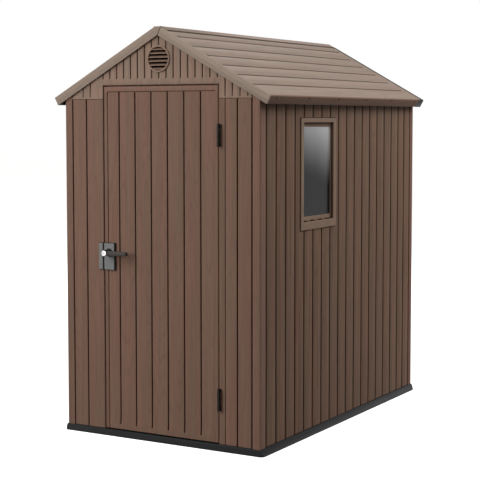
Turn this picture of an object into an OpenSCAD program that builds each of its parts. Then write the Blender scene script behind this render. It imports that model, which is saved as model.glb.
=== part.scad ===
// Small resin garden shed with a pitched roof, a single front door and one side window.
// +X is right seen from the front, +Y runs to the back, +Z is up.
// The origin is on the ground at the centre of the footprint.

/* [Body] */
// Width across the outer faces of the side walls
body_width = 1136; // [900:1:1600]
// Depth across the outer faces of the front and rear walls
body_depth = 1824; // [1400:1:2600]
// Height of the front and rear wall panels above the base
panel_height = 1666; // [1400:1:2100]
// Thickness of every wall and gable panel
wall_thickness = 18; // [12:0.5:24]
// Width of the corner posts seen from the front or rear
post_width = 45; // [35:1:70]
// Depth of the front corner posts seen from the side
front_post_depth = 61; // [35:1:90]
// Depth of the rear corner posts seen from the side
rear_post_depth = 46; // [35:1:90]
// Radius of the rounded outer edge of a corner post
post_radius = 4; // [2:1:30]
// Length of the front panel of each side wall
side_panel_length = 870; // [600:1:1150]

/* [Base] */
// Height of the floor base above the ground
base_height = 34; // [20:1:60]
// How far the foot of the base stands out past the side walls
base_flare_side = 19; // [6:1:30]
// How far the foot of the base stands out past the front and rear walls
base_flare_end = 5; // [4:1:30]
// Ledge of the base's top past the outer wall faces
base_ledge = 3; // [0:0.5:6]
// Radius of the base's corners
base_radius = 20; // [5:1:40]

/* [Roof] */
// Slope of each roof side in degrees
roof_slope = 29; // [20:0.5:38]
// Height of the roof surface over the panel tops, at the side walls' outer faces
roof_rise_at_wall = 42.8; // [36:0.1:80]
// Thickness of the roof panels
roof_thickness = 24; // [12:1:30]
// How far the eaves stand out past the side walls
eave_overhang = 61; // [45:1:120]
// Depth of the edge boards, square to the slope
edge_depth = 44; // [34:1:60]
// Thickness of the lip that hangs from the eave edge of a roof panel
eave_lip = 12; // [6:1:20]
// Thickness of the front and rear edge boards
verge_thickness = 10.5; // [6:0.5:20]
// Fitting gap between a part of the roof and what it lies on
seat_gap = 0.05; // [0.02:0.01:0.3]
// Width of the flat top of the ridge cap
cap_flat = 40; // [20:1:80]
// Width of the whole ridge cap
cap_width = 100; // [80:1:180]
// Thickness of the ridge cap
cap_thickness = 3; // [2:0.5:8]
// Width of the rear trim's flange that lies on the roof
trim_flange = 16; // [14:1:50]
// Thickness of that flange
trim_flange_thickness = 2; // [1:0.5:4]
// Length of the trim's return along each eave
trim_return = 72; // [40:1:150]

/* [Vents] */
// Outer diameter of a gable vent's flange
vent_diameter = 132; // [90:1:160]
// Width of the vent's flange ring
vent_ring = 9; // [6:0.5:14]
// How far the ring stands proud of the gable
vent_proud = 5; // [2:0.5:10]
// Wall of the tube behind the ring
vent_tube_wall = 3; // [2:0.5:5]
// Gap between the vent's tube and the hole in the gable
vent_gap = 0.5; // [0.3:0.1:2]
// Height of the vent's centre above the panel tops
vent_rise = 194; // [170:1:240]
// Number of slats across a vent
slat_count = 6; // [3:1:6]
// Spacing of the vent's slats
slat_pitch = 19; // [12:0.5:19]
// Thickness of a slat
slat_thickness = 2.5; // [1.5:0.5:4]
// Depth of a slat along its slope
slat_depth = 17; // [10:1:20]
// Downward tilt of the slats in degrees
slat_tilt = 40; // [15:1:60]

/* [Door] */
// Width of the door panel
door_width = 666; // [560:1:800]
// Offset of the door's middle from the middle of the front
door_offset = 5; // [-20:1:20]
// Thickness of the door panel
door_thickness = 20; // [14:1:30]
// Gap between the door's sides and its opening
door_side_gap = 6; // [5.5:0.5:10]
// Gap above and below the door
door_end_gap = 5.5; // [5.5:0.5:10]
// Height of the door opening's top above the panel tops
door_head = 67.5; // [30:0.5:110]

/* [Hinges] */
// Radius of the hinge barrel
barrel_radius = 7; // [6:0.5:10]
// Distance from the wall face to the hinge pin's axis
pin_standoff = 14; // [12.5:0.5:18]
// Distance from the door's edge to the hinge pin's axis
pin_setback = 9; // [8.5:0.5:12]
// Radius of the hinge pin
pin_radius = 3; // [2:0.5:4]
// Running clearance round the pin
pin_clearance = 0.05; // [0.03:0.01:0.1]
// Length of a whole hinge
hinge_length = 112; // [80:1:150]
// Length of each outer knuckle
knuckle_length = 28; // [18:1:35]
// Gap between knuckles along the pin
knuckle_gap = 0.6; // [0.3:0.1:2]
// Width of the door leaf on the door's face
leaf_width = 10; // [8:1:25]
// Depth of the door leaf
leaf_depth = 5; // [4:0.5:6]
// Distance from the pin's axis to where the leaf's edges run into the barrel
leaf_tie = 6; // [5:0.5:9]
// Width of the block that carries an outer knuckle on the wall
carrier_width = 9.5; // [7:0.5:12]
// Height of the upper hinge's middle above the base
upper_hinge_height = 1491; // [1300:1:1500]
// Height of the lower hinge's middle above the base
lower_hinge_height = 220; // [120:1:400]

/* [Handle] */
// Width of the lock plate on the door
lock_plate_width = 61; // [50:1:80]
// Height of both plates
plate_height = 133; // [100:1:170]
// Thickness of both plates
plate_thickness = 10; // [6:1:16]
// Distance from the door's edge to the lock plate
lock_plate_inset = 2; // [0:0.5:8]
// Width of the plate on the door frame
jamb_plate_width = 24; // [18:1:40]
// Distance from the door opening to the frame's plate
jamb_plate_inset = 1; // [0:0.5:8]
// Height of the lever's axis above the base
lever_height = 899.5; // [800:0.5:1100]
// Height of the lever's axis above the middle of the plates
lever_above_plate = 20; // [0:0.5:35]
// Radius of the boss that carries the lever
boss_radius = 14; // [12:0.5:20]
// Length of the boss from the plate
boss_length = 25; // [15:1:40]
// Radius of the lever's spindle
spindle_radius = 6; // [4:0.5:8]
// Running clearance round the spindle
spindle_clearance = 0.05; // [0.03:0.01:0.1]
// Depth of the spindle in the boss
spindle_depth = 22; // [12:1:30]
// Gap between the boss and the lever's hub
hub_gap = 1; // [0.5:0.5:3]
// Radius of the lever's hub
hub_radius = 16; // [12:0.5:20]
// Depth of the hub and the lever, front to back
lever_depth = 18; // [12:1:24]
// Distance from the lever's axis to its far end
lever_reach = 136; // [100:1:170]
// Height of the lever where it leaves the hub
lever_root = 26; // [16:1:30]
// Height of the lever at its far end
lever_tip = 18; // [12:1:24]
// Radius of the lock's face
lock_radius = 15.5; // [10:0.5:20]
// Thickness of the lock's face
lock_thickness = 3; // [2:0.5:5]

/* [Window] */
// Outer width of the window frame, along the wall
window_width = 390; // [300:1:470]
// Outer height of the window frame
window_height = 559; // [400:1:900]
// Distance from the window frame to the rear edge of its wall panel
window_margin = 138; // [60:1:200]
// Distance from the window frame's top down from the panel tops
window_drop = 93; // [60:1:300]
// Width of the frame's sides
frame_width = 30; // [22:1:50]
// Height of the frame's head
head_height = 23; // [22:1:50]
// Height of the frame's sill
sill_height = 40; // [25:1:60]
// How far the frame laps over the wall round its hole
frame_lap = 14; // [6:1:20]
// How far the frame stands proud of the wall
frame_proud = 6; // [3:0.5:12]
// Gap between the frame's sleeve and the hole in the wall
frame_gap = 0.5; // [0.3:0.1:2]
// Depth of the sash
sash_depth = 8; // [6:0.5:10]
// Height of the sash's top rail
sash_top = 21; // [10:1:40]
// Height of the sash's bottom rail
sash_bottom = 25; // [14:1:40]
// Width of the sash's side stiles
sash_side = 6; // [4:1:20]
// Thickness of the pane
pane_thickness = 3; // [2:0.5:5]
// Number of slots under the sash
slot_count = 4; // [0:1:4]
// Length of a slot
slot_length = 54; // [20:1:70]
// Spacing of the slots
slot_pitch = 84; // [75:1:90]
// Height of a slot
slot_height = 5; // [3:0.5:8]

/* [Hidden] */
$fn = 64;
// Margin by which a cutting shape passes the faces it cuts
over = 5;

half_w = body_width / 2;
half_d = body_depth / 2;
panel_top = base_height + panel_height;
front_face = -half_d;
rear_face = half_d;

// Roof surface, roof underside and top of what carries it, x from the middle
wall_roof_z = panel_top + roof_rise_at_wall;
function roof_z(x) = wall_roof_z + (half_w - abs(x)) * tan(roof_slope);
function under_z(x) = roof_z(x) - roof_thickness / cos(roof_slope);
function seat_z(x) = under_z(x) - seat_gap;

roof_half = half_w + eave_overhang;
ridge_z = roof_z(cap_flat / 2);
cap_seat = ridge_z + seat_gap;
ridge_top = ridge_z + cap_thickness / cos(roof_slope);
// Point on the right slope: up the slope from the eave edge, then square down into the roof
function slope_pt(up, down) = [
    roof_half - up * cos(roof_slope) - down * sin(roof_slope),
    roof_z(roof_half) + up * sin(roof_slope) - down * cos(roof_slope)];
// Lowest point of the edge boards in the middle
apex_low = [0, roof_z(0) - edge_depth / cos(roof_slope)];

// Door and its opening
door_left = door_offset - door_width / 2;
door_right = door_offset + door_width / 2;
door_bottom = base_height + door_end_gap;
opening_left = door_left - door_side_gap;
opening_right = door_right + door_side_gap;
opening_top = panel_top + door_head;
door_top = opening_top - door_end_gap;

// Hinge pin axis in plan
pin_x = door_right + pin_setback;
pin_y = front_face - pin_standoff;
upper_hinge_z = base_height + upper_hinge_height;
lower_hinge_z = base_height + lower_hinge_height;

// Handle
plate_mid_z = base_height + lever_height - lever_above_plate;
lever_z = base_height + lever_height;
lock_plate_left = door_left + lock_plate_inset;
lever_x = lock_plate_left + lock_plate_width / 2;
boss_face_y = front_face - plate_thickness - boss_length;
hub_back_y = boss_face_y - hub_gap;
hub_face_y = hub_back_y - lever_depth;

// Side wall panels and the window in the right front one
side_start = front_face + front_post_depth;
side_joint = side_start + side_panel_length;
side_end = rear_face - rear_post_depth;
win_y1 = side_joint - window_margin;
win_y0 = win_y1 - window_width;
win_z1 = panel_top - window_drop;
win_z0 = win_z1 - window_height;
light_y0 = win_y0 + frame_width;
light_y1 = win_y1 - frame_width;
light_z0 = win_z0 + sill_height;
light_z1 = win_z1 - head_height;
sash_x = half_w - wall_thickness;

// Vents
vent_z = panel_top + vent_rise;
vent_inner = vent_diameter / 2 - vent_ring;
vent_tube = vent_inner + vent_tube_wall;

wall_color = [0.46, 0.37, 0.32];
roof_color = [0.62, 0.54, 0.49];
trim_color = [0.13, 0.13, 0.13];
metal_color = [0.47, 0.47, 0.46];

// Extrudes an outline drawn in X and Z from y0 back to y1
module along_y(y0, y1) {
    translate([0, y1, 0]) rotate([90, 0, 0]) linear_extrude(y1 - y0) children();
}

// Extrudes an outline drawn in Y and Z from x0 out to x1
module along_x(x0, x1) {
    translate([x0, 0, 0]) rotate([90, 0, 90]) linear_extrude(x1 - x0) children();
}

// Upright box from its low corner and its high corner
module box(low, high) {
    translate(low) cube(high - low);
}

module floor_base() {
    foot_x = half_w + base_flare_side;
    foot_y = half_d + base_flare_end;
    color(trim_color) intersection() {
        linear_extrude(base_height) union() {
            square([2 * foot_x, 2 * (foot_y - base_radius)], center = true);
            square([2 * (foot_x - base_radius), 2 * foot_y], center = true);
            for (sx = [-1, 1], sy = [-1, 1])
                translate([sx * (foot_x - base_radius), sy * (foot_y - base_radius)])
                    circle(base_radius);
        }
        along_y(-foot_y - over, foot_y + over)
            flared(foot_x, half_w + base_ledge);
        along_x(-foot_x - over, foot_x + over)
            flared(foot_y, half_d + base_ledge);
    }
}

// Outline of the base from one side: wider at the ground than at its top
module flared(foot, top) {
    polygon([[-foot, 0], [foot, 0], [top, base_height], [-top, base_height]]);
}

// Everything below the roof panels' undersides, as an outline in X and Z
module below_roof() {
    polygon([[-half_w, base_height], [half_w, base_height], [half_w, seat_z(half_w)],
        [0, seat_z(0)], [-half_w, seat_z(half_w)]]);
}

// Folded strip round a corner: its outer edge stands at the origin, rounded, and its legs
// run along +X and +Y
module post_strip(leg_x, leg_y, height) {
    difference() {
        linear_extrude(height)
            polygon([[0, 0], [leg_x, 0], [leg_x, wall_thickness],
                [wall_thickness, wall_thickness], [wall_thickness, leg_y], [0, leg_y]]);
        difference() {
            translate([-over, -over, -over])
                cube([post_radius + over, post_radius + over, height + 2 * over]);
            translate([post_radius, post_radius, -2 * over])
                cylinder(h = height + 4 * over, r = post_radius);
        }
    }
}

module corner_post(sx, sy, leg_y) {
    color(wall_color) intersection() {
        translate([sx * half_w, sy * half_d, base_height])
            mirror([sx > 0 ? 1 : 0, 0, 0]) mirror([0, sy > 0 ? 1 : 0, 0])
                post_strip(post_width, leg_y, seat_z(0) - base_height);
        along_y(-half_d - over, half_d + over) below_roof();
    }
}

module post_front_left() { corner_post(-1, -1, front_post_depth); }
module post_front_right() { corner_post(1, -1, front_post_depth); }
module post_rear_left() { corner_post(-1, 1, rear_post_depth); }
module post_rear_right() { corner_post(1, 1, rear_post_depth); }

// Front or rear wall panel between two places across the width
module end_panel(x0, x1, y0) {
    color(wall_color) box([x0, y0, base_height], [x1, y0 + wall_thickness, panel_top]);
}

module front_wall_left() { end_panel(post_width - half_w, opening_left, front_face); }
module front_wall_right() { end_panel(opening_right, half_w - post_width, front_face); }
module rear_wall_left() { end_panel(post_width - half_w, 0, rear_face - wall_thickness); }
module rear_wall_right() { end_panel(0, half_w - post_width, rear_face - wall_thickness); }

// Gable triangle with its vent hole, standing on the wall panels between the posts
module gable_outline() {
    x1 = half_w - post_width;
    difference() {
        polygon([[-x1, panel_top], [x1, panel_top], [x1, seat_z(x1)],
            [0, seat_z(0)], [-x1, seat_z(x1)]]);
        translate([0, vent_z]) circle(vent_tube + vent_gap);
    }
}

module front_gable() {
    color(wall_color) difference() {
        along_y(front_face, front_face + wall_thickness) gable_outline();
        box([opening_left, front_face - over, panel_top - over],
            [opening_right, front_face + wall_thickness + over, opening_top]);
    }
}

module rear_gable() {
    color(wall_color) along_y(rear_face - wall_thickness, rear_face) gable_outline();
}

// Side wall panel; its sloped top meets the roof panel's underside
module side_panel(y0, y1) {
    color(wall_color) along_y(y0, y1)
        polygon([[sash_x, base_height], [half_w, base_height],
            [half_w, seat_z(half_w)], [sash_x, seat_z(sash_x)]]);
}

module left_wall_front() { mirror([1, 0, 0]) side_panel(side_start, side_joint); }
module left_wall_rear() { mirror([1, 0, 0]) side_panel(side_joint, side_end); }
module right_wall_rear() { side_panel(side_joint, side_end); }

module right_wall_front() {
    color(wall_color) difference() {
        side_panel(side_start, side_joint);
        box([sash_x - over, win_y0 + frame_lap, win_z0 + frame_lap],
            [half_w + over, win_y1 - frame_lap, win_z1 - frame_lap]);
    }
}

// Round louvred vent: flange ring outside, tube in the gable's hole, slats across it.
// Drawn with its axis along Y, its flange's back at the origin and its front towards -Y.
module vent() {
    color(wall_color) rotate([90, 0, 0]) difference() {
        union() {
            cylinder(h = vent_proud, r = vent_diameter / 2);
            translate([0, 0, -wall_thickness])
                cylinder(h = wall_thickness + vent_proud, r = vent_tube);
        }
        translate([0, 0, -wall_thickness - over])
            cylinder(h = wall_thickness + vent_proud + 2 * over, r = vent_inner);
    }
    color(wall_color) intersection() {
        translate([0, wall_thickness - vent_proud, 0]) rotate([90, 0, 0])
            cylinder(h = wall_thickness, r = vent_inner + vent_tube_wall / 2);
        for (k = [0 : 1 : slat_count - 1])
            translate([0, 0, (k - (slat_count - 1) / 2) * slat_pitch]) rotate([slat_tilt, 0, 0])
                cube([vent_diameter, slat_depth, slat_thickness], center = true);
    }
}

module front_vent() { translate([0, front_face, vent_z]) vent(); }
module rear_vent() { translate([0, rear_face, vent_z]) rotate([0, 0, 180]) vent(); }

// Lip that hangs from the eave, a gap clear of the roof panel behind it, as an outline in X and Z
module lip_outline(gap) {
    polygon([slope_pt(0, 0), slope_pt(0, edge_depth),
        slope_pt(eave_lip - gap, edge_depth), slope_pt(eave_lip - gap, 0)]);
}

// Right roof panel; the left one is its mirror image
module roof_panel() {
    color(roof_color) union() {
        along_y(front_face, rear_face)
            polygon([[0, ridge_z], [cap_flat / 2, ridge_z], slope_pt(eave_lip, 0),
                slope_pt(eave_lip, roof_thickness), [0, under_z(0)]]);
        along_y(front_face, rear_face + verge_thickness - trim_return) lip_outline(0);
    }
}

module roof_right() { roof_panel(); }
module roof_left() { mirror([1, 0, 0]) roof_panel(); }

// Front edge boards: the left one carries the flat top and ends at a slanted seam
module front_verge_right() {
    color(roof_color) along_y(front_face - verge_thickness, front_face)
        polygon([[cap_flat / 2, ridge_z], slope_pt(0, 0), slope_pt(0, edge_depth), apex_low]);
}

module front_verge_left() {
    color(roof_color) along_y(front_face - verge_thickness, front_face) mirror([1, 0])
        polygon([[-cap_flat / 2, ridge_z], [-cap_flat / 2, ridge_top],
            [cap_flat / 2, ridge_top], [cap_flat / 2, ridge_z],
            slope_pt(0, 0), slope_pt(0, edge_depth), apex_low]);
}

// The rear trim's flange, with its underside a gap above the roof surface or sunk below it,
// as an outline in X and Z
module flange_outline(gap) {
    low = trim_flange_thickness;
    high = (roof_half - cap_width / 2) / cos(roof_slope) - seat_gap;
    polygon([slope_pt(low, -low), slope_pt(low, -gap), slope_pt(high, -gap),
        slope_pt(high, -low)]);
}

// Rear trim: board across the panel ends, flange on top, and a return along the eave
module rear_trim() {
    color(trim_color) union() {
        along_y(rear_face, rear_face + verge_thickness)
            polygon([[0, ridge_z], [cap_flat / 2, ridge_z], slope_pt(0, 0),
                slope_pt(0, edge_depth), apex_low]);
        along_y(rear_face, rear_face + verge_thickness) flange_outline(-trim_flange_thickness);
        along_y(rear_face + verge_thickness - trim_flange, rear_face + verge_thickness / 2)
            flange_outline(seat_gap);
        along_y(rear_face + verge_thickness - trim_return, rear_face) lip_outline(seat_gap);
    }
}

module rear_trim_right() { rear_trim(); }
module rear_trim_left() { mirror([1, 0, 0]) rear_trim(); }

module ridge_cap() {
    wing = cap_width / 2;
    color(roof_color) along_y(front_face, rear_face)
        polygon([[-wing, roof_z(wing) + seat_gap], [-cap_flat / 2, cap_seat],
            [cap_flat / 2, cap_seat], [wing, roof_z(wing) + seat_gap],
            [wing, roof_z(wing) + ridge_top - ridge_z], [cap_flat / 2, ridge_top],
            [-cap_flat / 2, ridge_top], [-wing, roof_z(wing) + ridge_top - ridge_z]]);
}

module window_frame() {
    color(wall_color) difference() {
        union() {
            box([half_w, win_y0, win_z0], [half_w + frame_proud, win_y1, win_z1]);
            box([sash_x, win_y0 + frame_lap + frame_gap, win_z0 + frame_lap + frame_gap],
                [half_w, win_y1 - frame_lap - frame_gap, win_z1 - frame_lap - frame_gap]);
        }
        box([sash_x - over, light_y0, light_z0],
            [half_w + frame_proud + over, light_y1, light_z1]);
    }
}

module window_sash() {
    mid_y = (light_y0 + light_y1) / 2;
    color(wall_color) difference() {
        box([sash_x, light_y0, light_z0], [sash_x + sash_depth, light_y1, light_z1]);
        box([sash_x - over, light_y0 + sash_side, light_z0 + sash_bottom],
            [sash_x + sash_depth + over, light_y1 - sash_side, light_z1 - sash_top]);
        for (k = [0 : 1 : slot_count - 1])
            translate([0, mid_y + (k - (slot_count - 1) / 2) * slot_pitch, 0])
                box([sash_x - over, -slot_length / 2, light_z0 - over],
                    [sash_x + sash_depth + over, slot_length / 2, light_z0 + slot_height]);
    }
}

module window_pane() {
    x0 = sash_x + (sash_depth - pane_thickness) / 2;
    color([0.35, 0.37, 0.38, 0.6])
        box([x0, light_y0 + sash_side, light_z0 + sash_bottom],
            [x0 + pane_thickness, light_y1 - sash_side, light_z1 - sash_top]);
}

module door_panel() {
    color(wall_color) box([door_left, front_face, door_bottom],
        [door_right, front_face + door_thickness, door_top]);
}

module jamb_plate() {
    color(metal_color)
        box([opening_left - jamb_plate_inset - jamb_plate_width, front_face - plate_thickness,
            plate_mid_z - plate_height / 2],
            [opening_left - jamb_plate_inset, front_face, plate_mid_z + plate_height / 2]);
}

module lock_plate() {
    color(metal_color) difference() {
        union() {
            box([lock_plate_left, front_face - plate_thickness, plate_mid_z - plate_height / 2],
                [lock_plate_left + lock_plate_width, front_face,
                plate_mid_z + plate_height / 2]);
            translate([lever_x, front_face, lever_z]) rotate([90, 0, 0])
                cylinder(h = plate_thickness + boss_length, r = boss_radius);
        }
        translate([lever_x, hub_back_y + spindle_depth, lever_z]) rotate([90, 0, 0])
            cylinder(h = spindle_depth + over, r = spindle_radius + spindle_clearance);
    }
}

// Lever: hub, tapered arm with a round end, and the spindle behind the hub
module door_lever() {
    arm = lever_reach - lever_tip / 2;
    color(trim_color) translate([lever_x, 0, lever_z]) union() {
        along_y(hub_face_y, hub_back_y) circle(hub_radius);
        along_y(hub_face_y, hub_back_y)
            polygon([[0, -lever_root / 2], [arm, -lever_tip / 2],
                [arm, lever_tip / 2], [0, lever_root / 2]]);
        along_y(hub_face_y, hub_back_y) translate([arm, 0]) circle(lever_tip / 2);
        along_y(hub_back_y, hub_back_y + spindle_depth - hub_gap) circle(spindle_radius);
    }
}

module lock_cylinder() {
    color([0.87, 0.87, 0.88]) translate([lever_x, 0, lever_z])
        along_y(hub_face_y - lock_thickness, hub_face_y) circle(lock_radius);
}

// Wall side of a hinge: two outer knuckles on carriers, joined by the pin
module hinge_jamb(z) {
    color(trim_color) translate([pin_x, pin_y, z - hinge_length / 2]) union() {
        for (z0 = [0, hinge_length - knuckle_length])
            translate([0, 0, z0]) linear_extrude(knuckle_length) union() {
                circle(barrel_radius);
                translate([barrel_radius - carrier_width, 0])
                    square([carrier_width, pin_standoff]);
            }
        cylinder(h = hinge_length, r = pin_radius);
    }
}

// Door side of a hinge: the middle knuckle and its leaf on the door's face
module hinge_door(z) {
    gap = knuckle_length + knuckle_gap;
    length = hinge_length - 2 * gap;
    color(trim_color) translate([pin_x, pin_y, z - length / 2]) difference() {
        union() {
            cylinder(h = length, r = barrel_radius);
            linear_extrude(length)
                polygon([[-pin_setback - leaf_width, pin_standoff],
                    [-pin_setback, pin_standoff], [0, leaf_tie], [0, 0], [-leaf_tie, 0],
                    [-pin_setback - leaf_width, pin_standoff - leaf_depth]]);
        }
        translate([0, 0, -over]) cylinder(h = length + 2 * over, r = pin_radius + pin_clearance);
    }
}

module hinge_upper_jamb() { hinge_jamb(upper_hinge_z); }
module hinge_lower_jamb() { hinge_jamb(lower_hinge_z); }
module hinge_upper_door() { hinge_door(upper_hinge_z); }
module hinge_lower_door() { hinge_door(lower_hinge_z); }

floor_base();
post_front_left();
post_front_right();
post_rear_left();
post_rear_right();
front_wall_left();
front_wall_right();
front_gable();
rear_wall_left();
rear_wall_right();
rear_gable();
left_wall_front();
left_wall_rear();
right_wall_front();
right_wall_rear();
front_vent();
rear_vent();
roof_left();
roof_right();
front_verge_left();
front_verge_right();
rear_trim_left();
rear_trim_right();
ridge_cap();
window_frame();
window_sash();
window_pane();
jamb_plate();
hinge_upper_jamb();
hinge_lower_jamb();
door_panel();
lock_plate();
hinge_upper_door();
hinge_lower_door();
door_lever();
lock_cylinder();
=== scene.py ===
import math

import bmesh
import bpy
import numpy as np
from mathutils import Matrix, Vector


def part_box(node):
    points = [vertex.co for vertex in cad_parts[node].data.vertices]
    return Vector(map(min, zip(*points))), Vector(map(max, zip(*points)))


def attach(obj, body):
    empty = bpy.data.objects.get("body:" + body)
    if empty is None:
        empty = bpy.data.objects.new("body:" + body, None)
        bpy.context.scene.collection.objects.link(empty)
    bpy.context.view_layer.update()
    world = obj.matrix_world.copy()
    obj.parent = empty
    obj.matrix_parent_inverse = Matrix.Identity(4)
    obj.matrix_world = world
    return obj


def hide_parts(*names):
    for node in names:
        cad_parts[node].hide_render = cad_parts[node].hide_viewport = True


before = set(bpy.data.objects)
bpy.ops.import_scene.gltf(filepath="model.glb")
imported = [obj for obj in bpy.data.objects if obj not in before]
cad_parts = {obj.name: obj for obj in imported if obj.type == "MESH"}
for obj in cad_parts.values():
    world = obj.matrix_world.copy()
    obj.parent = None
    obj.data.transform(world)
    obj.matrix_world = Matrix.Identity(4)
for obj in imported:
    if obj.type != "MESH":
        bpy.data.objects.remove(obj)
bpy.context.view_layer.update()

# Lengths are millimetres until a piece is made, and metres in its mesh.


def corners(*nodes):
    """Lowest and highest corner of one or more CAD nodes together."""
    boxes = np.array([[list(c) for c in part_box(n)] for n in nodes]) * 1000
    return boxes[:, 0].min(0), boxes[:, 1].max(0)


# Faces and heights that several pieces share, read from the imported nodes
DOOR_GAP = 5.5  # between the door's ends and the door head or the base
HALF_WIDTH = corners("post_front_right")[1][0]
FRONT = corners("front_wall_left")[0][1]
REAR = corners("rear_wall_left")[1][1]
WALL = corners("front_wall_left")[1][1] - FRONT
FLOOR_TOP = corners("floor_base")[1][2]
POST_END = corners("front_wall_right")[1][0]
EAVE_X = corners("roof_right")[1][0]
RIDGE_Z = corners("roof_right")[1][2]
LIP_END = corners("rear_trim_right")[0][1]
DOOR_LEFT, DOOR_RIGHT = corners("front_wall_left")[1][0], corners("front_wall_right")[0][0]
DOOR_HEAD = round(corners("door_panel")[1][2] + DOOR_GAP, 2)

# The roof: half the ridge cap's flat and half its width, the slope, the panels' thickness, the
# eave lip's thickness, the depth of every edge, and the clearance of what stands under it
CAP_HALF_FLAT, CAP_HALF = 20, 50
SLOPE = math.radians(29)
COS, SIN, FALL = math.cos(SLOPE), math.sin(SLOPE), math.tan(SLOPE)
ROOF_THICK, LIP, EDGE_DEPTH, SEAT = 24, 12, 44, 0.05

# Radii of the corner posts' outer edge and of the panels' edges
POST_RADIUS, ROUND = 4, 4

# Half sections of the grooves: distance from the middle, and depth there
GROOVE = ([0, 1.6, 2.6, 4.5, 9], [8.5, 8.2, 2.4, 0.7, 0])
LINE = ([0, 0.9, 2.4, 6], [4, 3.4, 0.9, 0])
LAP = ([0, 2.4, 3.8, 8], [6, 5.5, 1.6, 0])
INNER = ([0, 2.5, 5], [2, 1.6, 0])
CHANNEL = ([0, 1.8, 3.2], [4.5, 4, 0])
SIDE_WIDE = 1.6  # the side walls' grooves are this much wider


def roof_z(x):
    """Height of the roof surface: it falls from the ridge's flat at the slope's tangent."""
    return RIDGE_Z - (np.abs(x) - CAP_HALF_FLAT) * FALL


def under_z(x):
    """Height of the roof's underside: the surface less its thickness measured upright."""
    return roof_z(x) - ROOF_THICK / COS


# ---------- shapes ----------


def cut(distance, section, wide=1.0):
    """Depth of a groove at a distance from its middle, read off its half section."""
    return np.interp(np.abs(distance) / wide, *section)


def painted_shade(depth):
    """How dark a groove is painted, as painted shade: not at all at its lip, and wholly a little way
    down.
    """
    return np.clip((depth - 1.0) / 1.5, 0, 1)


def nearest(values, lines):
    """Distance from each value to the closest line."""
    values = np.asarray(values, float)
    if not len(lines):
        return np.full(values.shape, 1e3)
    return np.abs(values[..., None] - np.asarray(lines, float)).min(-1)


def rounded(distance, radius):
    """Depth of a quarter-round edge: radius less the root of radius squared less the rest squared."""
    rest = np.clip(radius - distance, 0, radius)
    return radius - np.sqrt(np.maximum(radius**2 - rest**2, 0))


def stations(low, high, *groups):
    """Sorted places from low to high: both ends, and each centre with its offsets to both sides."""
    found = [np.array([low, high], float)]
    for centres, offsets in groups:
        both = np.concatenate([-np.asarray(offsets, float), np.asarray(offsets, float)])
        found.append((np.asarray(centres, float)[:, None] + both).ravel())
    places = np.unique(np.round(np.concatenate(found), 2))
    return places[(places >= low) & (places <= high)]


def shade(values, lines):
    """A number from 0 to 1 for each board, changed from one board to the next by a golden step."""
    return (np.searchsorted(np.sort(lines), values, side="right") * 0.618034 + 0.37) % 1


def even(value):
    """A function of place that gives the same number everywhere."""
    return lambda a, h: np.full(np.shape(a), float(value))


def slab(along, heights, outer, inner, board, groove, keep=None, rise=even(0)):
    """A closed panel worked out on a grid. Column i stands at along[i] and node (i, j) at height
    heights[i, j], or heights[j] if all columns are alike. The outer face lies outer(a, h) deep
    and the inner face inner(a, h) deep; cells where keep is false are left out, and each open
    edge of the outer face is joined straight to the same edge of the inner face, which stands
    rise(a, h) higher."""
    m, n = len(along), heights.shape[-1]
    heights = np.broadcast_to(heights, (m, n))
    keep = np.ones((m - 1, n - 1), bool) if keep is None else keep
    flat = np.stack([np.broadcast_to(along[:, None], (m, n)), heights], -1).reshape(-1, 2)
    i, j = np.nonzero(keep)
    cells = np.stack([i * n + j, (i + 1) * n + j, (i + 1) * n + j + 1, i * n + j + 1], -1)
    flat, index = np.unique(np.round(flat, 3), axis=0, return_inverse=True)
    used, cells = np.unique(index.reshape(-1)[cells], return_inverse=True)
    cells, flat = cells.reshape(-1, 4), flat[used]
    a, h = flat.T
    count = len(flat)
    points = np.concatenate([
        np.stack([a, outer(a, h), h], -1), np.stack([a, inner(a, h), h + rise(a, h)], -1)])
    ends = np.stack([cells, np.roll(cells, -1, axis=1)], -1).reshape(-1, 2)
    ends = ends[ends[:, 0] != ends[:, 1]]
    free = ~np.isin(ends[:, 0] * count + ends[:, 1], ends[:, 1] * count + ends[:, 0])
    p, q = ends[free].T
    rim = np.stack([q, p, p + count, q + count], -1)
    faces = np.concatenate([cells, cells[:, ::-1] + count, rim])
    mark = np.clip(groove(a, h), 0, 1)
    return points, faces.tolist(), np.tile(mark, 2), np.tile(board(a, h), 2)


def tube(rings, closed=False, mark=0.0):
    """Rings of equally many points joined by four-sided faces. The first and the last ring are
    filled by one face each, or joined to each other if closed. If the volume summed over the
    triangles comes out negative, every face is turned round, so that all point outwards."""
    rings = np.asarray(rings, float)
    m, k = rings.shape[:2]
    points = rings.reshape(-1, 3)
    i, j = (g.ravel() for g in np.meshgrid(np.arange(m - 1 + closed), np.arange(k), indexing="ij"))
    up, on = (i + 1) % m, (j + 1) % k
    quads = np.stack([i * k + j, i * k + on, up * k + on, up * k + j], -1)
    fan = np.stack([np.zeros(k - 2, int), np.arange(1, k - 1), np.arange(2, k)], -1)
    ends = [] if closed else [fan[:, ::-1], fan + (m - 1) * k]
    a, b, c = points[np.concatenate([quads[:, :3], quads[:, [0, 2, 3]], *ends])].transpose(1, 0, 2)
    faces = quads.tolist()
    if not closed:
        faces += [list(range(k))[::-1], list(range((m - 1) * k, m * k))]
    if np.einsum("ij,ij", a, np.cross(b, c)) < 0:
        faces = [f[::-1] for f in faces]
    return points, faces, np.broadcast_to(mark, (m, k)).ravel().astype(float), np.full(m * k, 0.4)


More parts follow.
